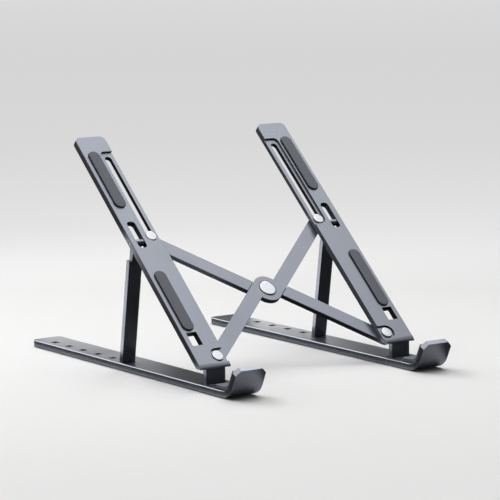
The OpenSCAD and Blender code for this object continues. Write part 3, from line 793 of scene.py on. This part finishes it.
side, front, back = 0.098, -0.150, 0.16
cards = [  # x and y of one corner, then of the other
    (-1.3, front, -side, back),
    (-0.060, front, 0.062, back),
    (side, front, 0.40, 0.06),
    (-1.3, back, 0.0, 1.8),
    (0.0, back, 0.30, 0.30),
    (-0.30, -1.2, 0.9, front),
]
corners = [c for card in cards for c in plate(*card, card_height)]
quads = np.arange(4 * len(cards)).reshape(-1, 4).tolist()
glowing("cards on the floor", corners, quads, card_radiance)
print("black cards", len(cards))

# %% [markdown]
# A tent stands round the set. It is pale, so that the metal stays light from any side, and has
# dark sectors where the left faces, the front faces and the rails mirror it. The tent is a band
# of a sphere, and each of its points carries its own radiance, so the sectors have soft edges.

# %% Tent


def ramp(value, start, stop):
    """0 at start and 1 at stop, with the smooth curve t^2 (3 - 2t) between."""
    t = np.clip((value - start) / (stop - start), 0, 1)
    return t * t * (3 - 2 * t)


tent_rows, tent_cols, tent_radius, tent_pale = 26, 144, 3.0, 0.55
lowest, highest, soft_edge, soft_top = 0.7, 51.0, 12, 10
sectors = [  # direction from +X, half width and top, in degrees
    (125, 42, 28),
    (-54, 32, 24),
    (-50, 16, 40),
    (54, 24, 34),
]
around = np.linspace(0, 2 * math.pi, tent_cols + 1)[:-1][None, :]
up = np.radians(np.linspace(lowest, highest, tent_rows))[:, None]
tent = tent_radius * np.stack(np.broadcast_arrays(
    np.cos(up) * np.cos(around), np.cos(up) * np.sin(around), np.sin(up)), axis=-1)
dark = np.zeros((tent_rows, tent_cols))
for middle, half, top in sectors:
    off = np.degrees(np.abs(np.angle(np.exp(1j * (around - math.radians(middle))))))
    sector = ramp(off, half + soft_edge, half) * ramp(np.degrees(up), top + soft_top, top)
    dark = np.maximum(dark, sector)
glowing("tent", tent.reshape(-1, 3).tolist(), ring_faces(tent_rows, tent_cols).tolist(),
    (tent_pale * (1 - dark)).ravel())
print("tent", tent_rows, "x", tent_cols, "points,", len(sectors), "dark sectors")

# %% [markdown]
# Six lamps make the light: a large one that the arms mirror, one to each side for the edges, and
# others for the far corners and the front. Each is given by the direction it stands in, its
# distance, its size and its radiance, where 1 is as bright as a white sheet. The power of an
# area lamp is radiance times pi times its area.

# %% Lamps
mid = Vector((0, 0, 0.08))
lamps = {  # direction, distance, size, radiance, shift
    "key": ((0.573, -0.068, 0.816), 1.2, (0.85, 0.85), 1.20, (-0.10, 0.0, 0.12)),
    "left": ((-0.649, -0.017, 0.76), 1.5, (0.8, 1.2), 0.4, (0, 0, 0)),
    "back": ((-0.142, 0.807, 0.573), 1.6, (1.3, 1.0), 4.2, (0, 0, 0)),
    "corner": ((-0.469, 0.366, 0.803), 1.4, (0.45, 0.45), 3.0, (0, 0, 0)),
    "top edge": ((0.573, 0.412, 0.706), 1.4, (0.5, 0.5), 3.9, (0, 0, 0)),
    "front": ((-0.35, -0.92, 0.25), 2.0, (0.8, 0.5), 0.58, (0, 0, 0)),
}


def hang(name, place, turn, size, radiance):
    """A rectangular area lamp at that place, turned by a quaternion."""
    lamp = bpy.data.lights.new(name, "AREA")
    lamp.shape = "RECTANGLE"
    lamp.size, lamp.size_y = size
    lamp.energy = radiance * math.pi * size[0] * size[1]
    hung = bpy.data.objects.new(name, lamp)
    scene.collection.objects.link(hung)
    hung.location = place
    hung.rotation_mode = "QUATERNION"
    hung.rotation_quaternion = turn
    hung.visible_camera = False
    return hung


for name, (direction, distance, size, radiance, shift) in lamps.items():
    place = mid + Vector(direction).normalized() * distance + Vector(shift)
    hang(name, place, (mid - place).to_track_quat("-Z", "Y"), size, radiance)
print("lamps", len(lamps))

# %% [markdown]
# A low reflector stands upright behind the rails, like a strip of white card. It is brighter
# where the back halves of the rails mirror it than where their front halves do, so that the
# rails fade toward the front.

# %% Low reflector
strip_y = 0.25
stops = np.array([  # x, height, radiance
    (-0.02, 0.042, 2.0), (0.085, 0.058, 2.3), (0.12, 0.042, 0.45), (0.185, 0.042, 0.3),
    (0.20, 0.042, 4.7), (0.27, 0.042, 4.8), (0.32, 0.042, 1.6), (0.42, 0.042, 1.2)])
n = len(stops)
low_edge = np.stack([stops[:, 0], np.full(n, strip_y), np.zeros(n)], axis=1)
strip = np.concatenate([low_edge, low_edge + stops[:, 1:2] * [0, 0, 1]])
quads = [(i, i + 1, i + n + 1, i + n) for i in range(n - 1)]
glowing("low reflector", strip.tolist(), quads, np.tile(stops[:, 2], 2))
print("low reflector", round(stops[-1, 0] - stops[0, 0], 2), "m long")

# %% [markdown]
# Slim lamps stand beside the legs and the hinge blocks, just where their left faces mirror them,
# so that each of these dark posts gets one light side. Such a lamp has the height and the lean
# of its face, moved along the mirrored line of sight. A grid keeps its light in a narrow cone:
# with half angle h, a lamp of the same power is tan h / (tan h - h) times as bright straight
# ahead. Only reflections see it.

# %% Slim lamps
lamp_away, lamp_width, above_rail, end_band = 0.035, 0.014, 0.011, 0.005
slim_radiance = 4.4
cone = math.radians(30)
brighter = math.tan(cone) / (math.tan(cone) - cone)
posts = ("leg_left", "leg_right", "hinge_block_left", "hinge_block_right")
for name in posts:
    points = np.array([v.co for v in nodes[name].data.vertices])
    low, high = points.min(axis=0), points.max(axis=0)
    foot = Vector((low[0], points[points[:, 2] < low[2] + end_band][:, 1].mean(), low[2]))
    head = Vector((low[0], points[points[:, 2] > high[2] - end_band][:, 1].mean(), high[2]))
    foot.z += above_rail
    mirrored = ((foot + head) / 2 - eye).normalized() * Vector((-1, 1, 1))
    wide = (head - foot).cross(mirrored).normalized()
    turn = Matrix((wide, mirrored.cross(wide), mirrored)).transposed().to_quaternion()
    size = (lamp_width * abs(mirrored.x), (head - foot).length)
    place = (foot + head) / 2 + mirrored * lamp_away
    slim = hang("slim lamp " + name, place, turn, size, slim_radiance / brighter)
    slim.data.spread = 2 * cone
    slim.visible_diffuse = False
    slim.visible_transmission = False
print("slim lamps", len(posts))

# %% [markdown]
# A soft sky lights the floor and the pads from above. It is bright overhead and nearly black
# lower down, so that the sides of the metal stay dark. Where camera or reflection rays look past
# the floor and the tent, they see a pale band of the backdrop's tone.

# %% Sky
sky_starts, sky_full, sky_low, sky_high, band_tone = 0.78, 0.95, 0.03, 1.68, 0.68
world = bpy.data.worlds.new("studio")
scene.world = world
world.use_nodes = True
tree = world.node_tree
heading = node(tree, "SeparateXYZ")
join(tree, node(tree, "TexCoord").outputs["Generated"], heading.inputs[0])
overhead = remap(
    tree, heading.outputs["Z"], sky_starts, sky_full, sky_low, sky_high, "SMOOTHSTEP")
pale_band = calc(tree, "MULTIPLY", seen_directly(tree), band_tone)
sky = tree.nodes["Background"].inputs
join(tree, calc(tree, "MAXIMUM", overhead, pale_band), sky["Strength"])
join(tree, (1, 1, 1, 1), sky["Color"])
scene.view_settings.view_transform = "Standard"
print("sky from", sky_low, "to", sky_high)
